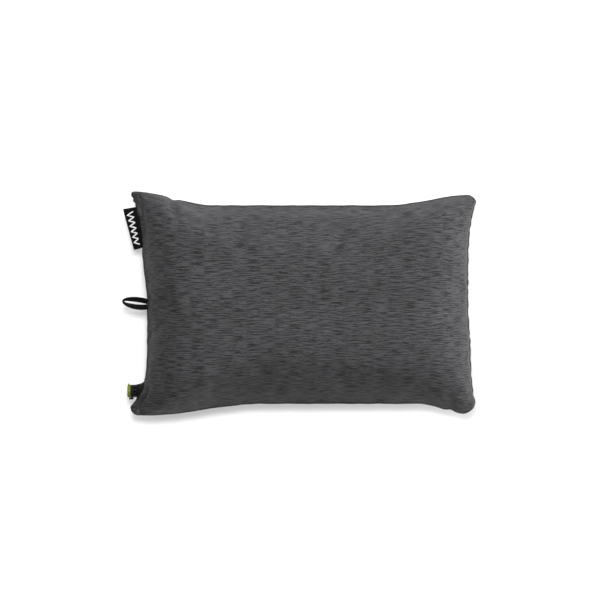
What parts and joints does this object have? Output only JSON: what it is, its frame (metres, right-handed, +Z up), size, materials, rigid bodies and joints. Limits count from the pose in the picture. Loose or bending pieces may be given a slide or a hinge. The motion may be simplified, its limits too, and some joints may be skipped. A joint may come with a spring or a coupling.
{
  "type": "inflatable camp pillow",
  "caption": "Inflatable camp pillow: fabric cover with a zip, foam pad, baffled air bladder, capped side valve, folded side label and a webbing hang loop.",
  "frame": {"origin": "middle of the flat stretch of the underside that the pillow rests on", "axes": "+Z up, +X along the length from the valve end to the plain end, +Y across the width towards the zip"},
  "size_m": [0.4463, 0.28, 0.102],
  "materials": {
    "cover_fabric": "matte",
    "cover_base_fabric": "matte",
    "foam": "matte",
    "bladder_film": "satin",
    "black_binding": "matte",
    "black_plastic": "satin",
    "green_plastic": "satin",
    "flap_rubber": "satin",
    "seal_rubber": "satin",
    "zip_tape": "matte",
    "zip_coil": "satin",
    "zip_metal": "satin",
    "label_ribbon": "satin",
    "loop_webbing": "satin"
  },
  "bodies": {
    "pillow": {"cover_top": "cover_fabric", "cover_bottom": "cover_base_fabric", "foam_pad": "foam", "bladder_top": "bladder_film", "bladder_bottom": "bladder_film", "baffle_1": "bladder_film", "baffle_2": "bladder_film", "baffle_3": "bladder_film", "baffle_4": "bladder_film", "valve_port_binding": "black_binding", "valve_base": "black_plastic", "zip_tape_upper": "zip_tape", "zip_tape_lower": "zip_tape", "zip_coil_upper": "zip_coil", "zip_coil_lower": "zip_coil", "zip_top_stops": "zip_metal", "zip_bottom_stop": "zip_metal"},
    "valve_core": {"valve_core": "black_plastic"},
    "check_flap": {"check_flap": "flap_rubber"},
    "valve_cap": {"valve_cap": "green_plastic", "cap_seal": "seal_rubber"},
    "zip_slider": {"zip_slider": "zip_metal"},
    "zip_pull": {"zip_pull": "zip_metal"},
    "side_label": {"side_label": "label_ribbon"},
    "hang_loop": {"hang_loop": "loop_webbing"}
  },
  "joints": [
    {"name": "valve_core_hinge", "type": "hinge", "parent": "pillow", "child": "valve_core", "pos_m": [-0.2158, -0.11, 0.0576], "axis": [0, 1, 0], "range_deg": [0, 100]},
    {"name": "valve_cap_hinge", "type": "hinge", "parent": "valve_core", "child": "valve_cap", "pos_m": [-0.2186, -0.1194, 0.048], "axis": [0, 0, 1], "range_deg": [0, 120]},
    {"name": "check_flap_hinge", "type": "hinge", "parent": "valve_core", "child": "check_flap", "pos_m": [-0.21195, -0.11, 0.05215], "axis": [0, -1, 0], "range_deg": [0, 25], "stiffness_Nm_per_rad": 0.0002},
    {"name": "zip_slide", "type": "slide", "parent": "pillow", "child": "zip_slider", "axis": [-1, 0, 0], "range_m": [0, 0.205], "deforming": ["zip_coil_upper", "zip_coil_lower"]},
    {"name": "zip_pull_hinge", "type": "hinge", "parent": "zip_slider", "child": "zip_pull", "pos_m": [0.106, 0.12242, 0.0346], "axis": [0, -0.3237, -0.9462], "range_deg": [0, 170]},
    {"name": "hang_loop_flop", "type": "hinge", "parent": "pillow", "child": "hang_loop", "pos_m": [-0.1978, 0.0015, 0.048], "axis": [0, 1, 0], "range_deg": [-60, 60], "stiffness_Nm_per_rad": 0.002},
    {"name": "side_label_flop", "type": "hinge", "parent": "pillow", "child": "side_label", "pos_m": [-0.2079, 0.09415, 0.048], "axis": [0.1892, -0.9819, 0], "range_deg": [-60, 60], "stiffness_Nm_per_rad": 0.0008}
  ]
}
